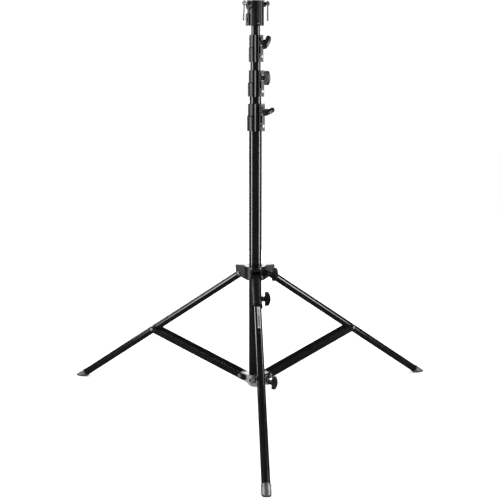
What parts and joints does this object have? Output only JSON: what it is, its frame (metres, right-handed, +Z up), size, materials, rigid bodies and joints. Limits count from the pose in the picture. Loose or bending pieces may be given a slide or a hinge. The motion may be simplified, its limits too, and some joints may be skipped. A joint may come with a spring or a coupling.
{
  "type": "lighting stand",
  "caption": "Heavy-duty telescopic lighting stand with folding braced legs, a sliding levelling leg, knob-locked risers and a spigot socket on top.",
  "frame": {"origin": "the column axis at floor level, between the three feet", "axes": "+Z up along the column; the front, levelling leg points to -Y; the other legs are 120 degrees either side"},
  "size_m": [1.543, 1.3391, 1.591],
  "materials": {
    "black_tube": "gloss black powder coat",
    "black_casting": "cast aluminium under a semi-gloss black powder coat",
    "bare_casting": "bare cast aluminium, tumbled",
    "knob_plastic": "moulded black nylon, semi-gloss",
    "zinc_steel": "bright zinc plate",
    "rubber": "matt black rubber",
    "nylon": "black nylon"
  },
  "bodies": {
    "base": {"lower_collar": "bare_casting", "lower_collar_pins": "zinc_steel"},
    "lower_knob": {"lower_knob": "knob_plastic", "lower_knob_screw": "zinc_steel"},
    "column": {"base_tube": "black_tube", "base_end_plug": "nylon", "collar_3": "black_casting", "collar_3_bush": "nylon", "collar_3_bolt": "zinc_steel"},
    "collar_3_knob": {"collar_3_knob": "knob_plastic", "collar_3_knob_screw": "zinc_steel"},
    "riser_3": {"riser_3_tube": "black_tube", "riser_3_end_plug": "nylon", "collar_2": "black_casting", "collar_2_bush": "nylon", "collar_2_bolt": "zinc_steel"},
    "collar_2_knob": {"collar_2_knob": "knob_plastic", "collar_2_knob_screw": "zinc_steel"},
    "riser_2": {"riser_2_tube": "black_tube", "riser_2_end_plug": "nylon", "collar_1": "black_casting", "collar_1_bush": "nylon", "collar_1_bolt": "zinc_steel"},
    "collar_1_knob": {"collar_1_knob": "knob_plastic", "collar_1_knob_screw": "zinc_steel"},
    "riser_1": {"riser_1_tube": "black_tube", "riser_1_end_plug": "nylon", "head": "black_casting", "head_bolts": "zinc_steel"},
    "left_head_screw": {"left_head_screw": "zinc_steel"},
    "left_tommy_bar": {"left_tommy_bar": "zinc_steel"},
    "right_head_screw": {"right_head_screw": "zinc_steel"},
    "right_tommy_bar": {"right_tommy_bar": "zinc_steel"},
    "upper_collar": {"upper_collar": "black_casting", "upper_collar_pins": "zinc_steel"},
    "upper_knob": {"upper_knob": "knob_plastic", "upper_knob_screw": "zinc_steel"},
    "left_leg": {"left_leg_tube": "black_tube", "left_joint_pin": "zinc_steel", "left_ferrule": "zinc_steel", "left_foot_pad": "rubber"},
    "right_leg": {"right_leg_tube": "black_tube", "right_joint_pin": "zinc_steel", "right_ferrule": "zinc_steel", "right_foot_pad": "rubber"},
    "front_pivot": {"front_pivot_pin": "zinc_steel"},
    "leveling_sleeve": {"leveling_sleeve": "black_casting"},
    "leveling_knob": {"leveling_knob": "knob_plastic", "leveling_knob_screw": "zinc_steel"},
    "front_leg": {"front_leg_tube": "black_tube", "front_joint_pin": "zinc_steel", "front_ferrule": "zinc_steel", "front_foot_pad": "rubber"},
    "left_brace": {"left_brace_bars": "black_tube", "left_brace_rivets": "zinc_steel"},
    "right_brace": {"right_brace_bars": "black_tube", "right_brace_rivets": "zinc_steel"},
    "front_brace_pivot": {"front_brace_pin": "zinc_steel"},
    "front_brace": {"front_brace_bars": "black_tube", "front_brace_rivets": "zinc_steel"}
  },
  "joints": [
    {"name": "column_slide", "type": "slide", "parent": "base", "child": "column", "axis": [0, 0, 1], "range_m": [-0.08, 0]},
    {"name": "fold", "type": "slide", "parent": "base", "child": "upper_collar", "axis": [0, 0, 1], "range_m": [0, 0.51906]},
    {"name": "left_leg_fold", "type": "hinge", "parent": "upper_collar", "child": "left_leg", "pos_m": [-0.05456, 0.0315, 0.54141], "axis": [-0.5, -0.866, 0], "range_deg": [0, 51.99]},
    {"name": "left_brace_fold", "type": "hinge", "parent": "base", "child": "left_brace", "pos_m": [-0.05023, 0.029, 0.1222], "axis": [0.5, 0.866, 0], "range_deg": [0, 66.48]},
    {"name": "right_leg_fold", "type": "hinge", "parent": "upper_collar", "child": "right_leg", "pos_m": [0.05456, 0.0315, 0.54141], "axis": [-0.5, 0.866, 0], "range_deg": [0, 51.99]},
    {"name": "right_brace_fold", "type": "hinge", "parent": "base", "child": "right_brace", "pos_m": [0.05023, 0.029, 0.1222], "axis": [0.5, -0.866, 0], "range_deg": [0, 66.48]},
    {"name": "front_leg_fold", "type": "hinge", "parent": "upper_collar", "child": "front_pivot", "pos_m": [0, -0.063, 0.54141], "axis": [1, 0, 0], "range_deg": [0, 51.99]},
    {"name": "front_leg_level_tilt", "type": "hinge", "parent": "front_pivot", "child": "leveling_sleeve", "pos_m": [0, -0.063, 0.54141], "axis": [1, 0, 0], "range_deg": [0, 7.36]},
    {"name": "front_leg_level", "type": "slide", "parent": "leveling_sleeve", "child": "front_leg", "axis": [0, 0.8285, 0.5601], "range_m": [-0.08, 0]},
    {"name": "front_brace_fold", "type": "hinge", "parent": "base", "child": "front_brace_pivot", "pos_m": [0, -0.058, 0.1222], "axis": [-1, 0, 0], "range_deg": [0, 66.48]},
    {"name": "front_brace_level_tilt", "type": "hinge", "parent": "front_brace_pivot", "child": "front_brace", "pos_m": [0, -0.058, 0.1222], "axis": [1, 0, 0], "range_deg": [0, 13.76]},
    {"name": "riser_3_slide", "type": "slide", "parent": "column", "child": "riser_3", "axis": [0, 0, 1], "range_m": [0, 0.96]},
    {"name": "collar_3_knob_turn", "type": "hinge", "parent": "column", "child": "collar_3_knob", "pos_m": [0.03346, -0.03716, 1.177], "axis": [0.6691, -0.7431, 0], "range_deg": [0, 270]},
    {"name": "riser_2_slide", "type": "slide", "parent": "riser_3", "child": "riser_2", "axis": [0, 0, 1], "range_m": [0, 0.96]},
    {"name": "collar_2_knob_turn", "type": "hinge", "parent": "riser_3", "child": "collar_2_knob", "pos_m": [0.03346, -0.03716, 1.3025], "axis": [0.6691, -0.7431, 0], "range_deg": [0, 270]},
    {"name": "riser_1_slide", "type": "slide", "parent": "riser_2", "child": "riser_1", "axis": [0, 0, 1], "range_m": [0, 0.96]},
    {"name": "collar_1_knob_turn", "type": "hinge", "parent": "riser_2", "child": "collar_1_knob", "pos_m": [0.03346, -0.03716, 1.4337], "axis": [0.6691, -0.7431, 0], "range_deg": [0, 270]},
    {"name": "lower_knob_turn", "type": "hinge", "parent": "base", "child": "lower_knob", "pos_m": [0.06062, -0.035, 0.107], "axis": [0.866, -0.5, 0], "range_deg": [0, 270]},
    {"name": "upper_knob_turn", "type": "hinge", "parent": "upper_collar", "child": "upper_knob", "pos_m": [0.06062, -0.035, 0.548], "axis": [0.866, -0.5, 0], "range_deg": [0, 270]},
    {"name": "leveling_knob_turn", "type": "hinge", "parent": "leveling_sleeve", "child": "leveling_knob", "pos_m": [0, -0.15823, 0.47703], "axis": [1, 0, 0], "range_deg": [0, 270]},
    {"name": "left_head_screw_turn", "type": "hinge", "parent": "riser_1", "child": "left_head_screw", "pos_m": [-0.04277, -0.02778, 1.577], "axis": [-0.8387, -0.5446, 0], "range_deg": [0, 270]},
    {"name": "left_tommy_bar_slide", "type": "slide", "parent": "left_head_screw", "child": "left_tommy_bar", "axis": [0.0569, -0.0877, 0.9945], "range_m": [0, 0.052]},
    {"name": "right_head_screw_turn", "type": "hinge", "parent": "riser_1", "child": "right_head_screw", "pos_m": [0.04632, 0.00405, 1.577], "axis": [0.9962, 0.0872, 0], "range_deg": [0, 270]},
    {"name": "right_tommy_bar_slide", "type": "slide", "parent": "right_head_screw", "child": "right_tommy_bar", "axis": [0, 0, 1], "range_m": [0, 0.052]}
  ],
  "couplings": [
    {"joint": "left_leg_fold", "follows": "fold", "rad_per_m": 1.7465},
    {"joint": "left_brace_fold", "follows": "fold", "rad_per_m": 2.2336},
    {"joint": "right_leg_fold", "follows": "fold", "rad_per_m": 1.7465},
    {"joint": "right_brace_fold", "follows": "fold", "rad_per_m": 2.2336},
    {"joint": "front_leg_fold", "follows": "fold", "rad_per_m": 1.7465},
    {"joint": "front_brace_fold", "follows": "fold", "rad_per_m": 2.2336},
    {"joint": "front_leg_level_tilt", "follows": "front_leg_level", "rad_per_m": -1.5941},
    {"joint": "front_brace_level_tilt", "follows": "front_leg_level", "rad_per_m": -2.9903}
  ]
}
